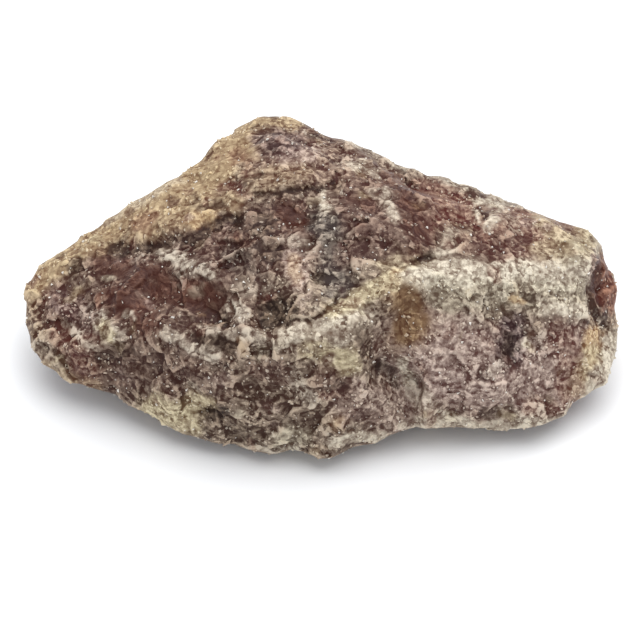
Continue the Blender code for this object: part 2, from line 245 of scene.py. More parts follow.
# What shows on the face towards the camera: mineral, half width in mm, strength, and the (across, up)
# places that the mark runs through. First the broad grounds, then what lies on them
markings = {
    "left ground": ("maroon", 5.5, 0.6, [(-31.0, -0.5), (-22.0, 0.5), (-12.0, -3.0)]),
    "middle ground": ("maroon", 4.4, 0.9, [(-14.0, 5.0), (-8.0, 6.0), (-2.4, 7.2)]),
    "under rind": ("maroon", 2.4, 0.7, [(-27.0, 4.0), (-20.0, 6.0), (-13.0, 7.0)]),
    "lower left ground": ("maroon", 4.6, 0.65, [(-30.0, -10.4), (-22.0, -9.6), (-15.0, -12.4)]),
    "front ground": ("ground", 4.6, 0.3, [(-12.0, -14.6), (-5.0, -15.0), (1.0, -17.0)]),
    "front pink": ("pink", 3.0, 0.5, [(4.0, -15.0), (7.0, -16.0), (11.0, -16.4)]),
    "upper ground": ("maroon", 4.8, 0.75, [(3.0, 9.0), (8.0, 9.4), (14.0, 8.6)]),
    "upper right ground": ("redBrown", 3.6, 0.8, [(16.0, 9.0), (22.0, 7.6), (28.0, 6.6)]),
    "right ground": ("pink", 6.0, 0.8, [(13.0, -9.0), (24.0, -11.6), (32.0, -11.0)]),
    "left end ground": ("redBrown", 4.4, 0.6, [(-36.4, -4.0), (-33.0, -9.6)]),
    "peak ground": ("redBrown", 3.8, 0.4, [(-7.0, 17.4), (0.0, 17.0), (6.0, 15.4)]),

    "upper left rind": ("rind", 2.2, 1.0, [(-38.6, 1.0), (-34.0, 4.4), (-30.0, 6.8)]),
    "middle rind": ("rind", 2.8, 1.0, [(-30.0, 7.0), (-25.5, 9.6), (-21.0, 11.6), (-16.5, 13.6)]),
    "rind fringe": ("rind", 1.6, 0.75, [(-24.0, 7.8), (-19.0, 9.2), (-12.0, 11.0)]),
    "peak rind": ("rind", 3.0, 1.0, [(-16.0, 14.4), (-13.4, 17.0), (-10.4, 20.2)]),
    "peak rim": ("rind", 1.2, 0.8, [(-10.0, 21.5), (-6.4, 22.4), (-3.6, 21.8)]),
    "lobe foot": ("rind", 1.6, 0.4, [(-9.0, 13.8), (-5.5, 14.2), (-2.4, 15.6)]),
    "left tip rind": ("rind", 1.2, 0.5, [(-39.6, -2.0), (-38.8, -5.0), (-37.6, -8.6)]),
    "peak purple": ("purple", 1.9, 0.85, [(-7.4, 19.4), (-4.0, 19.0)]),
    "peak mauve": ("pink", 1.4, 0.5, [(-4.5, 16.8), (-1.0, 17.6)]),
    "orange spot": ("rust", 1.1, 0.55, [(-11.2, 17.6), (-10.4, 16.2)]),
    "golden crumbs": ("ochre", 1.0, 0.7, [(-17.4, 9.0), (-14.6, 9.6)]),
    # painted shadow under the lobe's overhang, partly dark quartz as well
    "under lobe": ("dark", 0.9, 0.35, [(-11.0, 8.0), (-9.0, 9.4), (-6.5, 9.4), (-3.5, 10.4)]),
    "shaded crack": ("dark", 0.3, 0.7, [(-9.0, 13.0), (-6.8, 12.2), (-4.6, 12.0), (-3.2, 12.8),
                                 (-0.6, 12.6), (1.4, 13.4)]),
    "gritty shade below lobe": ("dark", 1.6, 0.3, [(-11.0, 7.0), (-7.0, 9.4)]),
    "deep maroon": ("wine", 1.7, 0.9, [(-4.6, 9.8), (-2.0, 8.8)]),
    "dark maroon": ("dark", 2.0, 0.45, [(-9.5, 6.0), (-6.5, 3.6)]),
    "rind shade": ("dark", 0.9, 0.7, [(-28.0, 4.8), (-20.0, 5.6), (-15.6, 7.4), (-10.2, 8.8)]),
    "left of patch": ("slate", 1.8, 0.5, [(-11.6, 3.4), (-8.0, 2.8)]),
    "dark middle": ("maroon", 2.1, 0.95, [(-8.4, 8.8), (-6.4, 3.6)]),
    "dark heart": ("dark", 1.8, 0.7, [(-8.0, 8.4), (-6.2, 4.0)]),
    "grey patch": ("pale", 0.8, 0.4, [(-4.6, 6.4), (-3.2, 5.6), (-2.0, 4.6)]),
    "pink heart": ("pink", 1.4, 0.8, [(-3.8, 3.4), (-2.6, 0.8)]),
    "orange pink": ("ochre", 0.9, 0.4, [(-3.5, 3.2), (-2.8, 0.8)]),
    "slate strip": ("slate", 1.9, 0.95, [(0.2, 8.6), (1.4, 4.4), (2.4, -0.6)]),
    # painted shade in the pit, as well as dark quartz
    "black pit": ("dark", 0.6, 1.0, [(-0.4, 0.9), (0.2, 0.6)]),
    "mauve grey": ("maroon", 2.2, 0.7, [(3.6, 4.0), (6.0, 6.0), (8.0, 5.0)]),
    "white streak": ("sugar", 0.5, 0.9, [(0.2, 12.2), (0.7, 10.0)]),
    "red shoulder": ("maroon", 2.8, 0.8, [(4.6, 11.4), (8.0, 10.4), (12.0, 10.8)]),
    "shoulder pale": ("sugar", 0.5, 0.45, [(6.4, 12.6), (7.6, 11.2), (9.0, 8.2)]),
    "rind blotch": ("rust", 0.9, 0.5, [(-24.6, 8.0), (-22.6, 8.8)]),
    "rind brown": ("dark", 0.7, 0.5, [(-17.0, 11.4), (-15.2, 10.6), (-13.2, 10.6)]),
    "lobe brown": ("redBrown", 1.0, 0.6, [(-12.6, 13.2), (-10.2, 12.4)]),
    "rind light": ("sugar", 0.7, 0.4, [(-29.0, 8.6), (-24.0, 11.4), (-19.0, 14.2)]),
    "deep red": ("wine", 1.5, 0.8, [(11.2, 10.4), (12.8, 7.2)]),
    "red notch": ("wine", 1.1, 0.6, [(8.6, 14.2), (11.0, 12.4)]),
    "red left": ("wine", 1.1, 0.6, [(4.6, 11.4), (6.4, 10.4)]),
    "beige upright": ("sugar", 0.7, 0.6, [(8.6, 12.4), (9.4, 9.0)]),
    "pink crest": ("sugar", 1.0, 0.6, [(4.6, 16.0), (7.4, 14.6)]),
    "upper right brown": ("redBrown", 1.6, 0.7, [(13.6, 13.4), (18.0, 12.0)]),
    "flake": ("redBrown", 1.6, 0.7, [(19.4, 8.4), (21.0, 7.4)]),
    "flake heart": ("dark", 0.8, 0.7, [(21.0, 9.8), (22.4, 9.6)]),
    "flake edge": ("sugar", 0.4, 0.9, [(20.2, 11.2), (24.5, 11.5)]),
    "flake slope": ("sugar", 0.6, 0.8, [(24.5, 11.3), (23.4, 9.4), (21.8, 7.6)]),
    "flake side": ("sugar", 0.3, 0.7, [(20.2, 11.2), (20.8, 8.6)]),
    "top right rim": ("pale", 1.0, 0.7, [(4.0, 19.4), (8.6, 17.6), (13.0, 15.8), (20.0, 13.8),
                                         (28.0, 10.6), (33.6, 8.6)]),
    "mauve right": ("maroon", 1.8, 0.6, [(21.0, 5.4), (26.0, 5.8)]),
    # painted shade in the pocket, as well as dark quartz
    "olive pocket": ("dark", 1.2, 0.9, [(12.6, 4.1), (14.6, 3.3)]),
    "orange right": ("rust", 1.7, 0.5, [(31.0, 8.2), (33.4, 7.2)]),
    "orange rim": ("cream", 1.2, 0.6, [(29.4, 8.6), (31.0, 6.2), (33.8, 5.6), (35.2, 7.4)]),
    "right cream": ("cream", 1.3, 0.5, [(29.0, 4.6), (33.6, 3.8), (36.0, 5.0)]),
    "right rim": ("sugar", 0.5, 0.9, [(37.6, 6.4), (36.2, 4.2), (35.0, 1.6)]),
    "flake fan": ("sugar", 0.8, 0.4, [(24.6, 9.8), (25.4, 7.6)]),
    "pocket edge": ("olive", 1.4, 0.5, [(16.0, 6.0), (19.0, 6.8)]),
    "band left": ("sugar", 1.2, 0.75, [(-4.4, -6.2), (-0.4, -5.6), (3.4, -3.8)]),
    "band low": ("sugar", 1.6, 0.6, [(1.6, -6.4), (5.0, -4.6)]),
    "band yellow": ("cream", 1.4, 0.85, [(1.6, -3.4), (6.0, -1.2), (9.6, 0.8), (14.6, 1.6)]),
    "band olive": ("cream", 1.1, 0.45, [(8.0, 2.6), (11.6, 3.2)]),
    "band middle": ("sugar", 1.9, 0.95, [(12.6, 0.8), (18.0, 1.8), (22.0, 1.6), (28.0, 1.2)]),
    "band high": ("sugar", 1.0, 0.6, [(16.0, 4.0), (17.2, 6.2)]),
    "band right": ("sugar", 1.9, 0.85, [(27.0, 1.0), (31.0, 1.2), (35.0, 1.8)]),
    "grey green": ("green", 2.2, 0.6, [(16.0, -1.0), (24.0, -1.6), (33.0, -1.4)]),
    "band spots": ("olive", 0.9, 0.5, [(26.0, 0.6), (26.8, -1.4)]),
    "right ledge": ("sugar", 1.1, 0.8, [(29.6, -3.0), (34.4, -3.6)]),
    "ledge shade": ("dark", 0.6, 0.5, [(27.6, -2.2), (29.4, -2.0)]),
    "face rust": ("rust", 1.7, 1.0, [(38.2, 2.4), (38.8, -2.0)]),
    "face wine": ("wine", 0.8, 0.8, [(37.0, 2.6), (37.0, -1.0)]),
    "face purple": ("purple", 0.7, 0.8, [(36.4, 4.0), (35.8, 1.6)]),
    "face grey": ("slate", 1.0, 0.6, [(37.4, -4.0), (36.4, -5.4)]),
    "ochre one": ("ochre", 1.5, 0.85, [(36.6, -7.0), (36.4, -9.0)]),
    "ochre two": ("ochre", 1.2, 0.75, [(35.6, -11.0), (34.8, -12.0)]),
    "small ochre": ("ochre", 0.6, 0.8, [(25.2, -2.1), (26.6, -2.5)]),
    "right cheek": ("cream", 2.0, 0.6, [(36.4, -9.4), (34.6, -13.2)]),
    "heel light": ("pale", 1.8, 0.6, [(-37.6, -9.0), (-34.4, -12.6)]),
    "rim grey": ("sugar", 1.6, 0.95, [(38.6, -7.6), (38.0, -10.8), (36.4, -13.6)]),
    "honey haze": ("honey", 3.0, 0.35, [(10.8, -2.2), (12.2, -5.0), (11.0, -7.2)]),
    "honey patch": ("honey", 1.9, 0.9, [(11.0, -2.4), (12.0, -4.6), (11.4, -6.4)]),
    "purple patch": ("plum", 2.0, 1.0, [(25.4, -6.0), (24.4, -9.2)]),
    "purple heart": ("dark", 0.8, 0.6, [(25.0, -6.8), (24.6, -8.8)]),
    "purple light": ("sugar", 0.7, 0.7, [(27.2, -7.2), (27.6, -6.4)]),
    "block mauve": ("pink", 1.8, 0.5, [(12.4, -10.2), (17.0, -13.2)]),
    "block pale": ("sugar", 1.1, 0.5, [(12.0, -13.0), (14.0, -16.4)]),
    "block brown": ("redBrown", 1.8, 0.5, [(31.4, -6.6), (33.0, -9.4)]),
    "lower brown": ("redBrown", 1.6, 0.5, [(32.6, -11.6), (33.4, -14.4)]),
    "foot oval": ("dark", 0.8, 0.5, [(21.6, -16.2), (24.4, -16.4)]),
    "foot brown": ("redBrown", 1.1, 0.5, [(27.6, -16.2), (30.4, -16.0)]),
    "foot rim": ("sugar", 0.8, 0.8, [(11.0, -18.0), (17.0, -17.8), (24.0, -18.6),
                                     (31.0, -18.2), (35.6, -15.4)]),
    "foot strip": ("sugar", 0.7, 0.85, [(1.0, -21.0), (5.0, -20.4), (8.4, -19.8)]),
    "white chip": ("sugar", 0.8, 0.9, [(10.6, -10.8), (11.4, -12.2)]),
    # painted shade in the notch, as well as dark quartz
    "olive notch": ("dark", 1.1, 0.4, [(4.2, -7.0), (6.2, -8.6)]),
    "notch slate": ("slate", 0.7, 0.45, [(8.0, -10.8), (9.6, -13.0)]),
    "notch dark": ("dark", 0.4, 0.4, [(8.4, -10.8), (9.4, -12.4)]),
    "cream patch": ("cream", 1.6, 0.9, [(-0.8, -8.8), (2.0, -9.4), (3.4, -10.6)]),
    "brown wall": ("maroon", 1.6, 0.8, [(-8.0, -10.8), (-5.4, -11.2)]),
    "wall pale": ("pale", 1.0, 0.6, [(-3.4, -12.4), (-1.0, -15.0)]),
    "maroon middle": ("maroon", 1.6, 0.8, [(0.4, -11.8), (2.4, -14.0)]),
    "maroon foot": ("maroon", 1.3, 0.5, [(4.4, -17.4), (6.8, -18.0)]),
    # painted shade in these pockets, as well as dark quartz
    "dark pocket": ("dark", 1.5, 1.0, [(-7.0, -4.2), (-4.4, -3.0)]),
    "left pocket": ("dark", 1.0, 0.9, [(-14.6, -3.4), (-12.8, -4.0)]),
    "low pocket": ("dark", 1.2, 0.8, [(-15.4, -7.4), (-11.6, -7.8)]),
    "glassy patch": ("wine", 2.1, 0.95, [(-23.4, 0.2), (-18.4, -0.8), (-15.4, -2.0)]),
    "glassy left": ("wine", 2.0, 0.9, [(-27.0, -1.6), (-23.0, -4.4)]),
    "glassy top": ("wine", 1.5, 0.7, [(-29.0, 3.2), (-26.4, 2.4)]),
    "milk streak": ("pale", 0.8, 0.7, [(-21.4, 4.4), (-18.4, 2.8), (-14.6, 1.0)]),
    "milk patch": ("pale", 1.1, 0.35, [(-19.6, 3.4), (-17.4, 2.6)]),
    "white spot": ("pale", 1.0, 0.85, [(-11.4, -2.2), (-10.4, -4.0)]),
    "grey beside": ("pale", 1.1, 0.4, [(-10.4, -0.4), (-7.6, -0.8)]),
    "pale ridge": ("pale", 0.7, 0.65, [(-15.4, -5.6), (-11.0, -6.4), (-8.0, -6.8), (-4.6, -8.0)]),
    "pink streak": ("pale", 0.8, 0.7, [(-20.4, -6.2), (-17.0, -8.2), (-13.8, -9.4)]),
    "shelf": ("pale", 1.2, 0.8, [(-31.4, -3.2), (-29.4, -4.4), (-27.0, -7.0)]),
    "shelf low": ("pale", 0.7, 0.5, [(-31.0, -7.6), (-28.8, -8.2)]),
    "left mauve": ("purple", 2.2, 0.6, [(-34.4, -2.2), (-31.6, -4.0)]),
    "left brown": ("dark", 1.1, 0.7, [(-29.0, -9.8), (-26.0, -8.8)]),
    "left end pale": ("ground", 1.6, 0.6, [(-38.4, -4.0), (-37.2, -9.0), (-35.2, -11.0)]),
    "shelf tip": ("cream", 0.8, 0.9, [(-28.6, -5.4), (-27.4, -6.8)]),
    "left streak": ("pale", 0.6, 0.7, [(-34.4, -5.2), (-31.8, -6.6)]),
    "left white": ("pale", 0.6, 0.85, [(-25.4, -3.8), (-24.8, -4.4)]),
    "left foot rim": ("rind", 0.8, 0.5, [(-36.6, -10.6), (-34.0, -12.0), (-30.0, -13.8)]),
    "yellow foot": ("cream", 2.2, 0.9, [(-21.8, -16.6), (-17.6, -17.6)]),
    "yellow heel": ("cream", 1.3, 0.8, [(-17.0, -14.8), (-15.0, -15.6)]),
    # painted shade in the hole, as well as dark quartz
    "foot hole": ("dark", 0.9, 0.9, [(-14.6, -16.6), (-13.0, -17.0)]),
    "green foot": ("green", 1.3, 0.7, [(-5.0, -20.2), (-2.6, -19.6)]),
    "white foot": ("pale", 0.6, 0.8, [(-9.6, -21.2), (-6.6, -21.8), (-3.4, -21.6)]),
    "olive foot": ("olive", 1.1, 0.5, [(-11.6, -18.8), (-9.2, -20.0)]),
}

# Where the skin is taken back, or let out, to the real outline: depth and half width in mm, and the places
outlineTrims = {
    "left heel": (0.6, 4.0, [(-39.5, -7.5), (-36.6, -11.6), (-32.0, -14.6)]),
    "upper left": (0.7, 3.0, [(-33.5, 6.4), (-28.0, 9.8)]),
    "under peak": (0.2, 3.0, [(-19.6, 14.6), (-15.0, 18.6)]),
    "beside peak": (0.6, 2.2, [(-12.4, 20.8), (-10.4, 22.0)]),
    "right slope": (0.5, 2.5, [(9.6, 17.0), (14.0, 15.4)]),
    "above flake": (0.9, 2.5, [(18.8, 14.4), (21.4, 13.6)]),
    "far slope": (0.8, 2.5, [(25.4, 12.0), (28.0, 10.8)]),
    "right corner": (0.6, 2.2, [(38.4, 4.4), (39.6, 1.4)]),
    "right foot": (0.45, 3.0, [(26.0, -19.6), (30.0, -19.0), (35.0, -16.0), (38.4, -13.0)]),
    "front foot": (-0.5, 2.5, [(-13.0, -22.2), (-6.0, -23.0)]),
    "behind peak": (0.5, 2.0, [(-1.6, 21.6), (1.0, 20.6)]),
}

# The side that the photograph does not show has the same minerals, in places drawn by lot
hiddenMarks = {
    "seed": 41,
    "count": 150,
    "shares": {
        "maroon": 20, "redBrown": 16, "pink": 14, "wine": 8, "purple": 6, "slate": 5, "dark": 14,
        "olive": 10, "green": 7, "pale": 26, "cream": 12, "honey": 4, "ochre": 7, "rust": 5, "rind": 8},
    "length": (2.0, 13.0),    # mm
    "halfWidth": (0.7, 2.6),  # mm
    "strength": (0.6, 1.0),
}

# Small marks strewn over the whole stone, drawn by lot from the same shares
strewnMarks = {
    "count": 260,
    "length": (0.5, 2.6),     # mm
    "halfWidth": (0.3, 0.9),  # mm
    "strength": (0.2, 0.6),
}

# How the minerals meet, and what changes where the skin turns away from the camera, with widths as cosines
paintEdge = {
    "strays": {4.0: 0.9, 1.3: 0.6, 0.6: 0.3},  # how far a border strays on each scale, mm
    "strayShift": 11.3,
    "softness": 0.6,                        # share of a half width
    "liftSlope": 3.0,                       # how much more sudden the lift is than the colour
    "shownWidth": 0.15, "shownShift": 2.0,  # where the front's marks give way to the hidden ones
    "wornShare": 0.85, "wornWidth": 0.4,    # how far chips and grit are gone near the outline
    "trimStart": 1.5, "trimSlope": 2.0,     # how the trims fade away from the outline
}


def lineDistance(places, line):  # from every place to a line of points, in 2 or 3 dimensions
    nearest = np.full(len(places), 1e9)
    for first, last in zip(line, line[1:]):
        start = np.array(first)
        along = np.array(last) - start
        share = np.clip((places - start) @ along / (along @ along), 0.0, 1.0)
        nearest = np.minimum(nearest, np.linalg.norm(places - start - share[:, None] * along, axis=1))
    return nearest


plainKeys, toneKeys = ("lift", "milk", "chips", "grit", "rough"), ("light", "deep")


def mineralRow(name):  # the five plain values, then the two tones
    looks = minerals[name]
    tones = [channel for key in toneKeys for channel in tone(*looks[key])[:3]]
    return np.array([looks[key] for key in plainKeys] + tones)


def drawMark(lot, marks, starts):  # a short straight mark, laid out like those of the face
    names, shares = zip(*hiddenMarks["shares"].items())
    start = starts[lot.randrange(len(starts))]
    heading = Vector((lot.gauss(0, 1), lot.gauss(0, 1), lot.gauss(0, 1))).normalized()
    end = start + np.array(heading) * lot.uniform(*marks["length"])
    mineral = lot.choices(names, shares)[0]
    return mineral, lot.uniform(*marks["halfWidth"]), lot.uniform(*marks["strength"]), [start, end]


def paintMark(paint, mark, places, shown):
    mineral, halfWidth, strength, line = mark
    distance = lineDistance(places, line)
    cover = np.clip((1.0 - distance / halfWidth) / paintEdge["softness"] + 0.5, 0.0, 1.0)
    cover *= strength * shown
    looks = mineralRow(mineral)
    paint[:, 1:] += (looks[1:] - paint[:, 1:]) * cover[:, None]  # a later mark hides the earlier ones
    paint[:, 0] += (looks[0] - paint[:, 0]) * np.clip(cover * paintEdge["liftSlope"] - 1.0, 0.0, 1.0)


def paintMinerals(mesh):
    points = meshPoints(mesh)
    facing = meshNormals(mesh) @ towardsCamera
    shift = paintEdge["strayShift"]
    stray = sum(wander(points, size, reach, size * shift) for size, reach in paintEdge["strays"].items())
    seen, strayed = seenPlaces(points), points * 1000 + stray
    shown = np.clip(facing / paintEdge["shownWidth"] + paintEdge["shownShift"], 0.0, 1.0)
    paint = np.tile(mineralRow("ground"), (len(points), 1))

    lot = random.Random(hiddenMarks["seed"])
    hidden = strayed[shown < 0.5]
    for _ in range(hiddenMarks["count"]):
        paintMark(paint, drawMark(lot, hiddenMarks, hidden), strayed, 1.0 - shown)
    for mark in markings.values():
        paintMark(paint, mark, seen + stray[:, :2], shown)
    for _ in range(strewnMarks["count"]):
        paintMark(paint, drawMark(lot, strewnMarks, strayed), strayed, 1.0)
    worn = paintEdge["wornShare"] * np.clip(1.0 - np.abs(facing) / paintEdge["wornWidth"], 0.0, 1.0)
    for column, name in enumerate(plainKeys):
        storeValues(mesh, name, paint[:, column] * (1.0 - worn if name in ("chips", "grit") else 1.0))
    for column, name in zip((5, 8), toneKeys):
        storeValues(mesh, name, paint[:, column:column + 3])

    trim = 0.0
    for depth, halfWidth, line in outlineTrims.values():
        trim += depth * np.clip(1.0 - (lineDistance(seen, line) / halfWidth) ** 2, 0.0, 1.0) ** 2
    fade = np.clip(paintEdge["trimStart"] - np.abs(facing) * paintEdge["trimSlope"], 0.0, 1.0)
    storeValues(mesh, "trim", trim * fade)
    storeValues(mesh, "rest", points * 1000)


# The breaks on the skin: flat chips, each a small tilted plane of its own. Sizes are in mm, slopes are rise
# over run
stoneBreaks = {
    "Large Chip Size": 5.0, "Large Chip Slope": 0.16,
    "Middle Chip Size": 2.4, "Middle Chip Slope": 0.17,
    "Small Chip Size": 1.3, "Small Chip Slope": 0.07,
    "Stretch": 2.3,      # how much longer than wide the small chips are
    "Edge Stray": 0.35,
    "Middle Chip Share": 0.45, "Small Chip Share": 0.4,  # how far a chip is of one mineral
    "Swell": 0.05,       # makes up for what the smoothing took off
    "Edge Wear": 1,      # times that the breaks are softened
    "Foot Height": 0.9,  # the breaks fade out this close to the table
}
edgeStraySize = 2.4          # mm, how long the bends of a chip's edge are
grainWay = (0.22, 0.3, 0.3)  # the way across the grain that the small chips have in common
lotFactor = 17.0             # draws a chip's lot from its tilt
cavityPasses = {"ridge": 8, "crest": 2}  # how wide around itself a point is compared


def newGeometryTree(name, sizes):
    tree = bpy.data.node_groups.new(name, "GeometryNodeTree")
    tree.interface.new_socket("Geometry", in_out="INPUT", socket_type="NodeSocketGeometry")
    for label, value in sizes.items():
        kind = {int: "NodeSocketInt", float: "NodeSocketFloat"}.get(type(value), "NodeSocketMaterial")
        tree.interface.new_socket(label, in_out="INPUT", socket_type=kind)
    tree.interface.new_socket("Geometry", in_out="OUTPUT", socket_type="NodeSocketGeometry")
    return tree, addNode(tree, "NodeGroupInput").outputs


def runGeometryTree(source, tree, sizes, name):
    made = source.modifiers.new(name, "NODES")
    made.node_group = tree
    identifiers = {item.name: item.identifier for item in tree.interface.items_tree
                   if item.item_type == "SOCKET" and item.in_out == "INPUT"}
    for label, value in sizes.items():
        made[identifiers[label]] = value
    return evaluatedMesh(source, name)


def addNamed(tree, name, kind="FLOAT"):
    return addNode(tree, "GeometryNodeInputNamedAttribute", {"Name": name}, data_type=kind).outputs[0]


def addChips(tree, place, strayed, size):  # the tilted plane of a place: its rise, lot, tilt and middle
    scale = addMath(tree, "DIVIDE", 1.0, size)
    cells = addNode(tree, "ShaderNodeTexVoronoi", {"Vector": strayed, "Scale": scale})
    tilt = addVectorMath(tree, "SUBTRACT", cells.outputs["Color"], (0.5, 0.5, 0.5))
    reach = addVectorMath(tree, "SUBTRACT", place, cells.outputs["Position"])
    drawn = addNode(tree, "ShaderNodeSeparateXYZ", {0: cells.outputs["Color"]}).outputs[0]
    lot = addMath(tree, "FRACT", addMath(tree, "MULTIPLY", drawn, lotFactor))
    rise = addMath(tree, "MULTIPLY", addVectorMath(tree, "DOT_PRODUCT", tilt, reach), 2.0)
    return rise, addMath(tree, "SUBTRACT", lot, 0.5), tilt, cells.outputs["Position"]


def addStray(tree, place, size, reach):  # the place moved about, so that borders turn ragged
    cloud = addNode(tree, "ShaderNodeTexNoise", {"Vector": place, "Scale": 1.0 / size, "Detail": 1.0})
    centred = addVectorMath(tree, "SUBTRACT", cloud.outputs["Color"], (0.5, 0.5, 0.5))
    return addVectorMath(tree, "ADD", place, addScaled(tree, centred, reach))


def addFibre(tree, place, tilt, squeeze):  # the place squeezed one way, so that each chip has its own grain
    way = addVectorMath(tree, "NORMALIZE", addVectorMath(tree, "ADD", tilt, grainWay))
    along = addMath(tree, "MULTIPLY", addVectorMath(tree, "DOT_PRODUCT", place, way),
                    addMath(tree, "SUBTRACT", squeeze, 1.0))
    return addVectorMath(tree, "ADD", place, addScaled(tree, way, along))


def addBreaks(tree, place, given):  # the large, middle and small chips, and the small ones' squeezed place
    strayed = addStray(tree, place, edgeStraySize, addMath(tree, "MULTIPLY", given["Edge Stray"], 2.0))
    large = addChips(tree, place, strayed, given["Large Chip Size"])
    middle = addChips(tree, place, strayed, given["Middle Chip Size"])
    fibre = addFibre(tree, strayed, middle[2], given["Stretch"])
    small = addChips(tree, fibre, fibre, given["Small Chip Size"])
    return (large, middle, small), fibre


def addSharing(tree, geometry, centres):  # each chip takes on the mineral at its middle, by the share given
    kinds = dict.fromkeys(plainKeys, "FLOAT") | dict.fromkeys(toneKeys, "FLOAT_VECTOR")
    for name, kind in kinds.items():
        own = settled = addNamed(tree, name, kind)
        for middle, share in centres:
            at = addNode(tree, "GeometryNodeSampleNearestSurface", {
                "Mesh": geometry, "Value": own, "Sample Position": addScaled(tree, middle, 0.001)},
                data_type=kind).outputs[0]
            mix = addNode(tree, "ShaderNodeMix", data_type="FLOAT" if kind == "FLOAT" else "VECTOR")
            first, last, made = (2, 3, 0) if kind == "FLOAT" else (4, 5, 1)
            for source, socket in ((share, 0), (settled, first), (at, last)):
                tree.links.new(source, mix.inputs[socket])
            settled = mix.outputs[made]
        geometry = addNode(tree, "GeometryNodeStoreNamedAttribute", {
            "Geometry": geometry, "Name": name, "Value": settled},
            data_type=kind, domain="POINT").outputs[0]
    return geometry


def breakSkin(mesh, finish):
    sizes = dict(stoneBreaks, Finish=finish)
    tree, given = newGeometryTree("stoneBreaks", sizes)
    place = addNamed(tree, "rest", "FLOAT_VECTOR")
    (large, middle, small), _ = addBreaks(tree, place, given)
    smallMiddle = addFibre(tree, small[3], middle[2], addMath(tree, "DIVIDE", 1.0, given["Stretch"]))
    relief = addNamed(tree, "chips")
    shared = addSharing(tree, given["Geometry"], (
        (middle[3], addMath(tree, "MULTIPLY", given["Middle Chip Share"], relief)),
        (smallMiddle, addMath(tree, "MULTIPLY", given["Small Chip Share"], relief))))
    height = 0.0
    for chip, (rise, _, _, _) in (("Large", large), ("Middle", middle), ("Small", small)):
        height = addMath(tree, "MULTIPLY_ADD", rise, given[f"{chip} Chip Slope"], height)
    lift = addMath(tree, "SUBTRACT", addNamed(tree, "lift"), addNamed(tree, "trim"))
    height = addMath(tree, "MULTIPLY_ADD", height, relief, addMath(tree, "ADD", lift, given["Swell"]))
    worn = addNode(tree, "GeometryNodeBlurAttribute", {"Value": height, "Iterations": given["Edge Wear"]})
    above = addNode(tree, "ShaderNodeSeparateXYZ", {0: place}).outputs["Z"]
    foot = addMath(tree, "DIVIDE", above, given["Foot Height"], clamp=True)
    reach = addMath(tree, "MULTIPLY", addMath(tree, "MULTIPLY", worn.outputs[0], foot), 0.001)
    move = addScaled(tree, addNode(tree, "GeometryNodeInputNormal").outputs[0], reach)
    moved = addNode(tree, "GeometryNodeSetPosition", {"Geometry": shared, "Offset": move})
    spot = addNode(tree, "GeometryNodeInputPosition").outputs[0]
    parts = addNode(tree, "ShaderNodeSeparateXYZ", {0: spot}).outputs
    upright = addMath(tree, "MAXIMUM", parts["Z"], 0.0)  # nothing goes below the table
    rested = addNode(tree, "ShaderNodeCombineXYZ", {0: parts["X"], 1: parts["Y"], 2: upright})
    resting = addNode(tree, "GeometryNodeSetPosition", {
        "Geometry": moved.outputs[0], "Position": rested.outputs[0]})
    covered = addNode(tree, "GeometryNodeSetMaterial", {
        "Geometry": resting.outputs[0], "Material": given["Finish"]})
    smooth = addNode(tree, "GeometryNodeSetShadeSmooth", {"Geometry": covered.outputs[0]})
    whole = addNode(tree, "GeometryNodeRealizeInstances", {"Geometry": smooth.outputs[0]})
    addNode(tree, "NodeGroupOutput", {0: whole.outputs[0]})
    return runGeometryTree(finishedObject("skin", mesh), tree, sizes, "aventurine")


def storeCavity(mesh, name, passes):  # how far each point stands out of the ground around it, in mm
    points = meshPoints(mesh)
    edges = np.empty(len(mesh.edges) * 2, np.int64)
    mesh.edges.foreach_get("vertices", edges)
    first, last = edges.reshape(-1, 2).T
    count = np.bincount(edges, minlength=len(points))[:, None]
    around = points.copy()
    for _ in range(passes):
        total = np.stack([np.bincount(first, around[last, i], len(points)) +
                          np.bincount(last, around[first, i], len(points)) for i in range(3)], axis=1)
        around = (around + total) / (count + 1)
    lengths = np.linalg.norm(points[first] - points[last], axis=1)
    reach = np.bincount(edges, np.repeat(lengths, 2)) / count[:, 0]
    fineness = np.minimum(1.0, stoneSkin["fineEdge"] / reach) ** 2  # a coarser skin would give more
    storeValues(mesh, name, np.einsum("ij,ij->i", points - around, meshNormals(mesh)) * fineness * 1000)


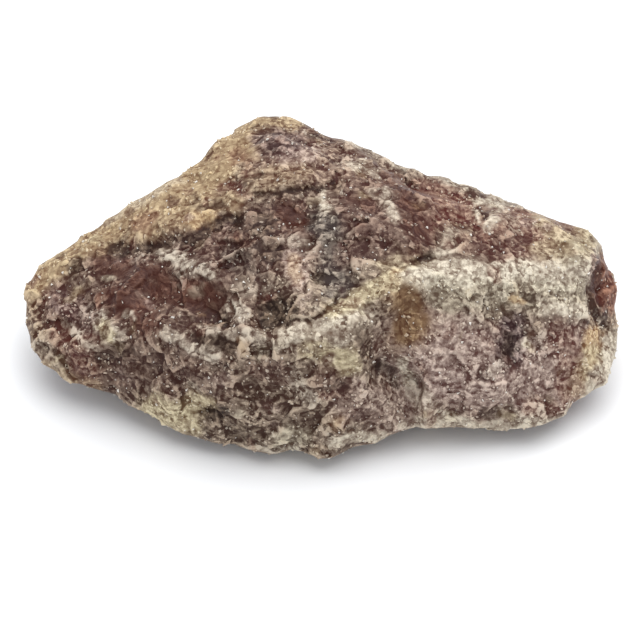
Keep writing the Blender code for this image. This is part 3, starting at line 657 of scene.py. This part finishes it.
# The finish: clear dark quartz and milky quartz in chips of every size, in the tones of each mineral, with
# painted shade and highlight across the chips, in the hollows and on what stands out
stoneFinish = {
    "chips": (0.18, 0.34, 0.38),  # how much the large, middle and small chips of the breaks show
    "paintedShadeGradient": 0.9,              # painted highlight and shade: how much a chip pales towards its raised edge and darkens towards its low side
    "paintedHighlightFrom": 0.34, "paintedHighlightTo": 0.5, "paintedHighlightShare": 0.2,  # painted highlight on the raised edges of the chips
    "fineChips": {0.6: 0.42, 0.3: 0.16},  # mm, and how much each shows
    # painted shade and highlight across each fine chip
    "finePaintedShadeGradient": 0.6,
    "fineStray": 0.3, "fineStraySize": 1.1,  # shares of the size
    "evenFrom": 0.88,                   # the grit above which the fine ones have no grain
    "smoothest": 0.35, "coarsest": 1.4,  # how much the fine ones show within each middle one
    "coarseFactor": 5.0,                # draws that from the middle one's lot
    "facets": 0.2,                      # how far the fine ones lean
    "cloudSize": 2.4, "cloudDetail": 4.0, "cloudRough": 0.6, "cloudShare": 0.7,  # size in mm
    "curdSize": 0.9, "curdDetail": 3.0, "curdRough": 0.65, "curdShare": 2.1,
    "curdFrom": 0.75, "curdFull": 1.3,  # the grit at which the curds set in, and show fully
    "ridgeShare": 1.3, "crestShare": 3.2,  # how much paler the quartz is where it stands out and darker in hollows and creases, partly frosted edges and partly painted highlight and painted shade
    "milkRange": (-0.05, 1.06),         # where the quartz turns from clear to milky
    "milkCurve": 1.7,
    "refraction": 1.54,                 # the index of quartz
    "shine": 0.12,
    "frost": (214, 203, 186), "frostRange": (0.35, 0.95, 0.0, 0.6),  # the palest of the scattered pieces
}


def addMix(tree, factor, first, second):
    made = addNode(tree, "ShaderNodeMix", data_type="RGBA")
    for socket, value in ((made.inputs[0], factor), (made.inputs[6], first), (made.inputs[7], second)):
        if isinstance(value, bpy.types.NodeSocket):
            tree.links.new(value, socket)
        else:
            socket.default_value = value
    return made.outputs[2]


def addSpread(tree, value, low, high, newLow=0.0, newHigh=1.0):  # one range spread over another
    return addNode(tree, "ShaderNodeMapRange", {
        "Value": value, "From Min": low, "From Max": high, "To Min": newLow, "To Max": newHigh}).outputs[0]


def addAttribute(tree, name, output="Fac"):
    return addNode(tree, "ShaderNodeAttribute", attribute_name=name).outputs[output]


def addCloud(tree, place, kind):  # a soft random value, about -0.2 to 0.2
    cloud = addNode(tree, "ShaderNodeTexNoise", {
        "Vector": place, "Scale": 1.0 / stoneFinish[f"{kind}Size"], "Detail": stoneFinish[f"{kind}Detail"],
        "Roughness": stoneFinish[f"{kind}Rough"]})
    return addMath(tree, "SUBTRACT", cloud.outputs[0], 0.5)


def quartzFinish(name, scattered=False):
    finish = bpy.data.materials.new(name)
    finish.use_nodes = True
    tree = finish.node_tree
    shader = tree.nodes["Principled BSDF"]
    place = addAttribute(tree, "rest", "Vector")  # in mm, as the stone was before its breaks
    mottle = addMath(tree, "MULTIPLY", addCloud(tree, place, "cloud"), stoneFinish["cloudShare"])
    normal = addNode(tree, "ShaderNodeNewGeometry").outputs["Normal"]
    breaks, fibre = addBreaks(tree, place, stoneBreaks)
    for (rise, lot, _, _), size, share in zip(breaks, ("Large", "Middle", "Small"), stoneFinish["chips"]):
        # each chip's tone is painted paler towards its raised edge and darker towards its low side, with a
        # painted highlight along that edge: painted shade and highlight on its drawn tone
        slant = addMath(tree, "DIVIDE", rise, stoneBreaks[f"{size} Chip Size"])
        shade = addMath(tree, "MULTIPLY_ADD", slant, stoneFinish["paintedShadeGradient"], lot)
        mottle = addMath(tree, "MULTIPLY_ADD", shade, share, mottle)
        rim = addSpread(tree, slant, stoneFinish["paintedHighlightFrom"], stoneFinish["paintedHighlightTo"])
        mottle = addMath(tree, "MULTIPLY_ADD", rim, stoneFinish["paintedHighlightShare"], mottle)
        if size == "Middle":
            drawn = addMath(tree, "FRACT", addMath(tree, "MULTIPLY", lot, stoneFinish["coarseFactor"]))
            gritty = addSpread(tree, drawn, 0.0, 1.0, stoneFinish["smoothest"], stoneFinish["coarsest"])
    mottle = addMath(tree, "MULTIPLY", mottle, addAttribute(tree, "chips"))
    grit = addAttribute(tree, "grit")
    gritty = addMath(tree, "MULTIPLY", gritty, grit)
    curdShare = addSpread(tree, grit, stoneFinish["curdFrom"], stoneFinish["curdFull"], 0.0,
                          stoneFinish["curdShare"])
    mottle = addMath(tree, "MULTIPLY_ADD", addCloud(tree, place, "curd"), curdShare, mottle)
    even = addMath(tree, "GREATER_THAN", grit, stoneFinish["evenFrom"])
    unsqueezed = addScaled(tree, addVectorMath(tree, "SUBTRACT", place, fibre), even)
    fibre = addVectorMath(tree, "ADD", fibre, unsqueezed)
    for size, share in stoneFinish["fineChips"].items():
        bends, reach = size * stoneFinish["fineStraySize"], size * stoneFinish["fineStray"]
        rise, lot, tilt, _ = addChips(tree, fibre, addStray(tree, fibre, bends, reach), size)
        # the fine chips get the same painted shade and highlight across them
        shade = addMath(tree, "MULTIPLY_ADD", rise, stoneFinish["finePaintedShadeGradient"] / size, lot)
        shade = addMath(tree, "MULTIPLY", shade, share)
        mottle = addMath(tree, "MULTIPLY_ADD", shade, gritty, mottle)
        if not scattered:
            normal = addVectorMath(tree, "ADD", normal, addScaled(tree, tilt, stoneFinish["facets"]))
    milk = addMath(tree, "ADD", mottle, addAttribute(tree, "milk"))
    # painted shade in hollows and creases and painted highlight where the skin stands out
    for name in cavityPasses:
        milk = addMath(tree, "MULTIPLY_ADD", addAttribute(tree, name), stoneFinish[f"{name}Share"], milk)
    if scattered:
        milk = addMath(tree, "ADD", milk, addAttribute(tree, "tint"))
    milky = addSpread(tree, milk, *stoneFinish["milkRange"])
    milky = addMath(tree, "POWER", milky, stoneFinish["milkCurve"])
    colour = addMix(tree, milky, addAttribute(tree, "deep", "Color"), addAttribute(tree, "light", "Color"))
    if scattered:
        frost = addSpread(tree, addAttribute(tree, "tint"), *stoneFinish["frostRange"])
        colour = addMix(tree, frost, colour, tone(*stoneFinish["frost"]))
    tree.links.new(colour, shader.inputs["Base Color"])
    tree.links.new(addAttribute(tree, "rough"), shader.inputs["Roughness"])
    if not scattered:
        tree.links.new(addVectorMath(tree, "NORMALIZE", normal), shader.inputs["Normal"])
    shader.inputs["IOR"].default_value = stoneFinish["refraction"]
    shader.inputs["Specular IOR Level"].default_value = stoneFinish["shine"]
    return finish


# The small pieces that stand out of the breaks, all angular: flat chips and crumbs, partly sunk in, and
# glints
smallPieces = {
    "flatChips": {
        "Spacing": 1.3, "Smallest Radius": 0.2, "Largest Radius": 0.75,  # mm
        "Flatness": 0.24, "Sink": 0.12,  # shares of the radius
        "Lean": 0.2, "Jitter": 0.3,      # radians, and a share of the radius
        "Palest": 0.45, "Darkest": -0.25,
        "follows": "chips", "Fullest At": 0.9, "Sparse": 0.3,
        "Patch Size": 3.0, "Foot Height": 1.8, "Corners": 6, "Seed": 7},
    "crumbs": {
        "Spacing": 0.38, "Smallest Radius": 0.05, "Largest Radius": 0.24,
        "Flatness": 0.9, "Sink": 0.35,
        "Lean": 0.6, "Jitter": 0.3,
        "Palest": 0.75, "Darkest": -0.15,
        "follows": "grit", "Fullest At": 1.3, "Sparse": 0.1,
        "Patch Size": 2.0, "Foot Height": 0.9, "Corners": 4, "Seed": 19},
    "glints": {
        "Spacing": 1.2, "Smallest Radius": 0.04, "Largest Radius": 0.22,
        "Flatness": 0.8, "Sink": -0.1,
        "Lean": 0.6, "Jitter": 0.2,
        "Palest": 0.0, "Darkest": 0.0,
        "follows": "grit", "Fullest At": 1.2, "Sparse": 0.25,
        "Patch Size": 4.0, "Foot Height": 1.2, "Corners": 3, "Seed": 31},
}

# What the three kinds have in common
pieceForm = {
    "sparsestAt": 0.4,  # of what the pieces follow
    "patchFrom": 0.42, "patchTo": 0.58, "betweenPatches": 0.15,
    "density": 2e6,     # tries for each square metre at a spacing of 1 mm
    "sizeCurve": 2.0,   # most pieces are small
    "narrowest": (0.8, 0.45, 0.7), "widest": (1.7, 0.9, 1.2),
    "topRadius": 0.0007, "footRadius": 0.001, "height": 0.0012,  # metres, at a radius of 1 mm
}
# the glints' near-white tone is a painted glint, besides what their gloss reflects
glintLook = {"tone": (230, 223, 212), "rough": 0.3}


def addLot(tree, low, high, seed, kind="FLOAT"):
    sockets = {"FLOAT": (2, 3, 1), "FLOAT_VECTOR": (0, 1, 0)}[kind]
    return addNode(tree, "FunctionNodeRandomValue", {sockets[0]: low, sockets[1]: high, "Seed": seed},
                   data_type=kind).outputs[sockets[2]]


def scatterPieces(mesh, finish, name):
    sizes = dict(smallPieces[name], Finish=finish)
    follows = sizes.pop("follows")
    tree, given = newGeometryTree(name, sizes)
    above = addNode(tree, "ShaderNodeSeparateXYZ", {0: addNamed(tree, "rest", "FLOAT_VECTOR")}).outputs["Z"]
    clear = addNode(tree, "FunctionNodeCompare", {0: above, 1: given["Foot Height"]}, data_type="FLOAT",
                    operation="GREATER_THAN")
    density = addSpread(tree, addNamed(tree, follows), pieceForm["sparsestAt"], given["Fullest At"],
                        given["Sparse"])
    patches = addNode(tree, "ShaderNodeTexNoise", {
        "Vector": addNamed(tree, "rest", "FLOAT_VECTOR"), "Detail": 1.0,
        "Scale": addMath(tree, "DIVIDE", 1.0, given["Patch Size"])}).outputs[0]
    density = addMath(tree, "MULTIPLY", density, addSpread(
        tree, patches, pieceForm["patchFrom"], pieceForm["patchTo"], pieceForm["betweenPatches"]))
    tries = addMath(tree, "DIVIDE", pieceForm["density"], addMath(tree, "POWER", given["Spacing"], 2.0))
    spread = addNode(tree, "GeometryNodeDistributePointsOnFaces", {
        "Mesh": given["Geometry"], "Selection": clear.outputs[0],
        "Distance Min": addMath(tree, "MULTIPLY", given["Spacing"], 0.001),
        "Density Max": tries, "Density Factor": density, "Seed": given["Seed"]},
        distribute_method="POISSON")
    lot = addMath(tree, "POWER", addLot(tree, 0.0, 1.0, given["Seed"]), pieceForm["sizeCurve"])
    radius = addSpread(tree, lot, 0.0, 1.0, given["Smallest Radius"], given["Largest Radius"])
    sink = addMath(tree, "MULTIPLY", addMath(tree, "MULTIPLY", radius, given["Sink"]), -0.001)
    sunk = addNode(tree, "GeometryNodeSetPosition", {
        "Geometry": spread.outputs["Points"], "Offset": addScaled(tree, spread.outputs["Normal"], sink)})
    anyWay = addLot(tree, (-1.0,) * 3, (1.0,) * 3, given["Seed"], "FLOAT_VECTOR")
    furthest = addNode(tree, "ShaderNodeCombineXYZ", {0: given["Lean"], 1: given["Lean"], 2: math.pi})
    turn = addVectorMath(tree, "MULTIPLY", anyWay, furthest.outputs[0])
    turned = addNode(tree, "FunctionNodeRotateRotation", {0: spread.outputs["Rotation"], 1: turn},
                     rotation_space="LOCAL")
    width = addLot(tree, pieceForm["narrowest"], pieceForm["widest"], given["Seed"], "FLOAT_VECTOR")
    flat = addNode(tree, "ShaderNodeCombineXYZ", {0: 1.0, 1: 1.0, 2: given["Flatness"]})
    stretch = addVectorMath(tree, "MULTIPLY", width, flat.outputs[0])
    piece = addNode(tree, "GeometryNodeMeshCone", {
        "Vertices": given["Corners"], "Radius Top": pieceForm["topRadius"],
        "Radius Bottom": pieceForm["footRadius"], "Depth": pieceForm["height"]})
    placed = addNode(tree, "GeometryNodeInstanceOnPoints", {
        "Points": sunk.outputs[0], "Instance": piece.outputs[0], "Rotation": turned.outputs[0],
        "Scale": addScaled(tree, stretch, radius)}).outputs[0]
    for attribute, value in (("tint", addLot(tree, given["Darkest"], given["Palest"], given["Seed"])),
                             ("size", radius)):
        placed = addNode(tree, "GeometryNodeStoreNamedAttribute", {
            "Geometry": placed, "Name": attribute, "Value": value},
            data_type="FLOAT", domain="INSTANCE").outputs[0]
    whole = addNode(tree, "GeometryNodeRealizeInstances", {"Geometry": placed}).outputs[0]
    reach = addMath(tree, "MULTIPLY", addNamed(tree, "size"), given["Jitter"])
    reach = addMath(tree, "MULTIPLY", reach, 0.001)
    anyWay = addLot(tree, (-1.0,) * 3, (1.0,) * 3, given["Seed"], "FLOAT_VECTOR")
    bent = addNode(tree, "GeometryNodeSetPosition", {
        "Geometry": whole, "Offset": addScaled(tree, anyWay, reach)}).outputs[0]
    mapped = addNode(tree, "GeometryNodeStoreNamedAttribute", {
        "Geometry": bent, "Name": "rest", "Value": addScaled(
            tree, addNode(tree, "GeometryNodeInputPosition").outputs[0], 1000.0)},
        data_type="FLOAT_VECTOR", domain="POINT").outputs[0]
    covered = addNode(tree, "GeometryNodeSetMaterial", {"Geometry": mapped, "Material": given["Finish"]})
    addNode(tree, "NodeGroupOutput", {0: covered.outputs[0]})
    pieces = runGeometryTree(finishedObject("seedbed", mesh.copy()), tree, sizes, name)
    pieces.shade_flat()
    return pieces


# The stage: a pale floor, a broad soft light overhead, a pale surround and the camera
stage = {
    "floorSize": 3.0, "floorTone": (248, 248, 248), "floorRough": 0.9,
    "surround": 0.68, "surroundTint": (0.955, 0.99, 1.045, 1.0),
    "lightWatts": 4.85, "lightSize": 0.85, "lightPlace": (0.07, 0.11, 0.61),
    "lens": 250.0, "clipStart": 0.05,
    "pictureWidth": 0.0859,  # the width that the picture takes in at the stone, in metres
    "aim": (0.0, -0.0013, 0.0063),
}


def plainFinish(name, colour, roughness):
    finish = bpy.data.materials.new(name)
    finish.use_nodes = True
    shader = finish.node_tree.nodes["Principled BSDF"]
    shader.inputs["Base Color"].default_value = tone(*colour)
    shader.inputs["Roughness"].default_value = roughness
    return finish


def makeStage():
    half = stage["floorSize"] / 2
    corners = [(-half, -half, 0), (half, -half, 0), (half, half, 0), (-half, half, 0)]
    mesh = bpy.data.meshes.new("floor")
    mesh.from_pydata(corners, [], [(0, 1, 2, 3)])
    mesh.materials.append(plainFinish("floorPaper", stage["floorTone"], stage["floorRough"]))
    finishedObject("floor", mesh)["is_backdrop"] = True
    world = bpy.data.worlds.new("surround")
    world.use_nodes = True
    world.node_tree.nodes["Background"].inputs[0].default_value = stage["surroundTint"]
    world.node_tree.nodes["Background"].inputs[1].default_value = stage["surround"]
    scene = bpy.context.scene
    scene.world = world
    scene.view_settings.view_transform = "Standard"
    lamp = bpy.data.lights.new("overhead", "AREA")
    lamp.energy = stage["lightWatts"]
    lamp.size = stage["lightSize"]
    overhead = finishedObject("overhead", lamp)
    overhead.location = stage["lightPlace"]
    overhead.rotation_euler = (-overhead.location).to_track_quat("-Z", "Y").to_euler()
    camera = finishedObject("camera", bpy.data.cameras.new("camera"))
    camera.data.lens = stage["lens"]
    camera.data.clip_start = stage["clipStart"]
    away = stage["pictureWidth"] * stage["lens"] / camera.data.sensor_width
    back = Vector(towardsCamera)
    camera.location = Vector(stage["aim"]) + back * away
    camera.rotation_euler = (-back).to_track_quat("-Z", "Y").to_euler()
    scene.camera = camera


def dress(piece, replacesNode=False):
    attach(piece, "root")
    if replacesNode:
        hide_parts("aventurine")


makeStage()
report("stage")
skin = fineSkin()
report(f"skin of {len(skin.vertices)} points")
paintMinerals(skin)
report("minerals painted")
stone = breakSkin(skin, quartzFinish("quartz"))
for name, passes in cavityPasses.items():
    storeCavity(stone, name, passes)
report(f"breaks cut, {len(stone.polygons) * 2} triangles")
dress(finishedObject("aventurineStone", stone), replacesNode=True)

chipFinish = quartzFinish("quartzChips", scattered=True)
glintFinish = plainFinish("quartzGlint", glintLook["tone"], glintLook["rough"])
for name, finish in {"flatChips": chipFinish, "crumbs": chipFinish, "glints": glintFinish}.items():
    pieces = scatterPieces(stone, finish, name)
    report(f"{name}: {len(pieces.polygons)} faces")
    dress(finishedObject(name, pieces))

low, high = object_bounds()
report(f"size {[round((b - a) * 1000, 2) for a, b in zip(low, high)]} mm")
